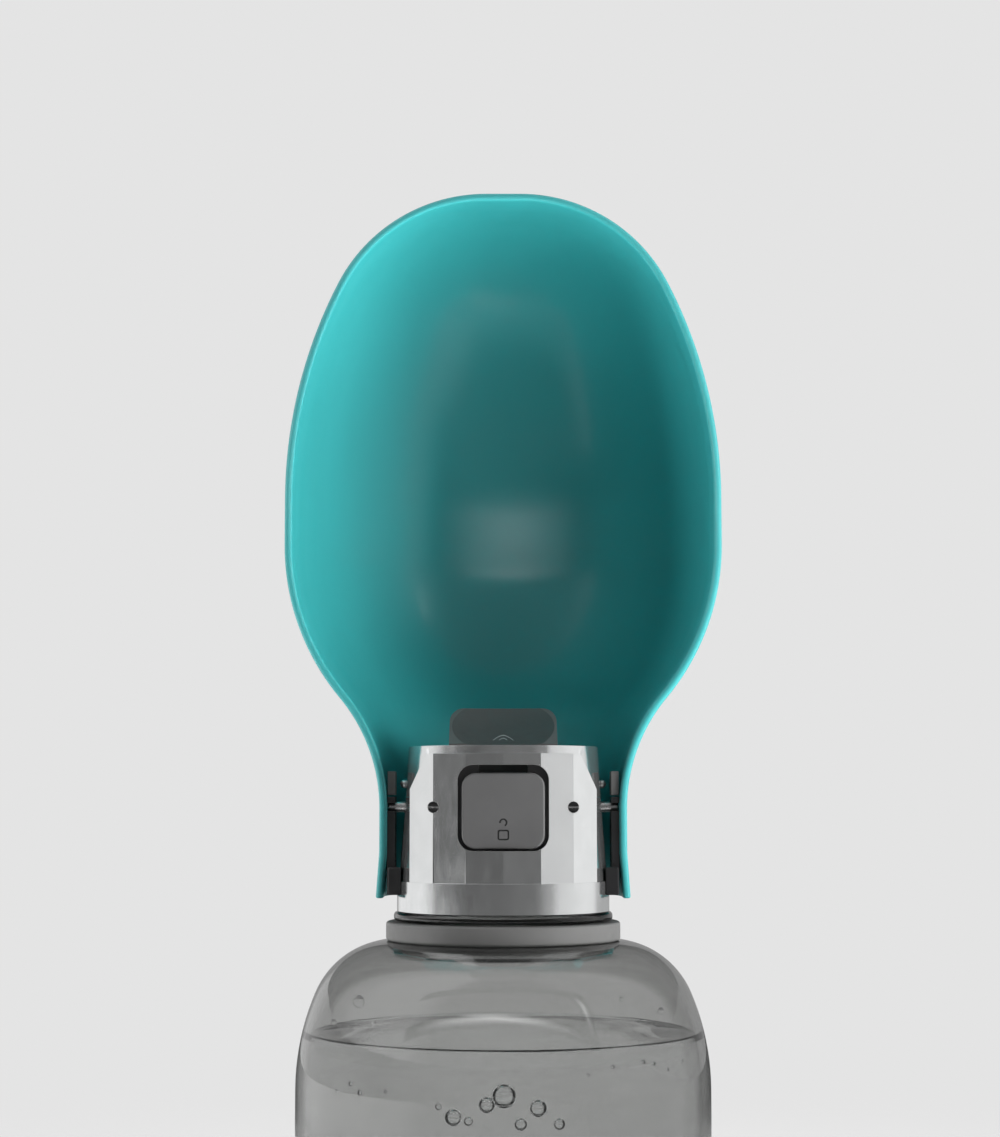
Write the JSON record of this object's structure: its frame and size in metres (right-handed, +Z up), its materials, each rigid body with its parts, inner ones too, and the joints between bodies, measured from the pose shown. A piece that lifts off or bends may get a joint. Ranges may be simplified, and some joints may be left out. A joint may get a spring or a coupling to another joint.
{
  "type": "dog travel water bottle",
  "caption": "Travel water bottle for dogs: clear round bottle, screw cap with push valve and sliding lock, and a half-shell bowl that folds down over the bottle.",
  "frame": {"origin": "centre of the bottle's flat base", "axes": "+Z up along the bottle's axis, -Y towards the front of the cap with its lock slider, +X to the right seen from the front"},
  "size_m": [0.0832, 0.0834, 0.2222],
  "materials": {
    "clear_plastic": "clear, slightly smoky moulded plastic",
    "grey_trim": "matt grey",
    "silicone": "matt translucent white",
    "plated_plastic": "satin silver plating",
    "inner_plastic": "matt light grey",
    "dark_plastic": "satin dark grey",
    "slider_grey": "matt mid grey",
    "white_plastic": "satin white",
    "steel": "bright steel",
    "black_plastic": "matt black",
    "bowl_teal": "satin teal moulded plastic"
  },
  "bodies": {
    "bottle": {"bottle": "clear_plastic", "bottle_neck": "clear_plastic", "neck_ring": "grey_trim"},
    "seal": {"neck_gasket": "silicone"},
    "cap": {"cap_shell": "plated_plastic", "cap_insert": "inner_plastic", "top_plate": "dark_plastic", "outlet_spout": "dark_plastic", "valve_spring": "steel", "hinge_pin_left": "steel", "hinge_pin_right": "steel", "set_screw_left": "steel", "set_screw_right": "steel", "detent_ball_left": "steel", "detent_ball_right": "steel", "hinge_stop_left": "black_plastic", "hinge_stop_right": "black_plastic"},
    "tab": {"press_tab": "dark_plastic", "valve_stem": "white_plastic", "valve_seal": "silicone", "seal_clip": "steel"},
    "lock": {"lock_slider": "slider_grey", "lock_keeper": "slider_grey"},
    "bowl": {"bowl": "bowl_teal", "hinge_plate_left": "black_plastic", "hinge_plate_right": "black_plastic", "detent_lug_left": "slider_grey", "detent_lug_right": "slider_grey", "plate_screw_left": "steel", "plate_screw_right": "steel"}
  },
  "joints": [
    {"name": "cap_lift", "type": "slide", "parent": "bottle", "child": "seal", "axis": [0, 0, 1], "range_m": [0, 0.00401]},
    {"name": "cap_turn", "type": "hinge", "parent": "seal", "child": "cap", "pos_m": [0, 0, 0.085], "axis": [0, 0, 1], "range_deg": [0, 450]},
    {"name": "tab_press", "type": "slide", "parent": "cap", "child": "tab", "axis": [0, 0, -1], "range_m": [0, 0.0025], "stiffness_N_per_m": 1200, "springref_m": -0.0015, "deforming": ["valve_spring"]},
    {"name": "lock_slide", "type": "slide", "parent": "cap", "child": "lock", "axis": [0, 0, 1], "range_m": [0, 0.0014]},
    {"name": "bowl_hinge", "type": "hinge", "parent": "cap", "child": "bowl", "pos_m": [0, 0, 0.1044], "axis": [1, 0, 0], "range_deg": [0, 180]}
  ],
  "couplings": [
    {"joint": "cap_lift", "follows": "cap_turn", "m_per_rad": 0.0005093}
  ]
}
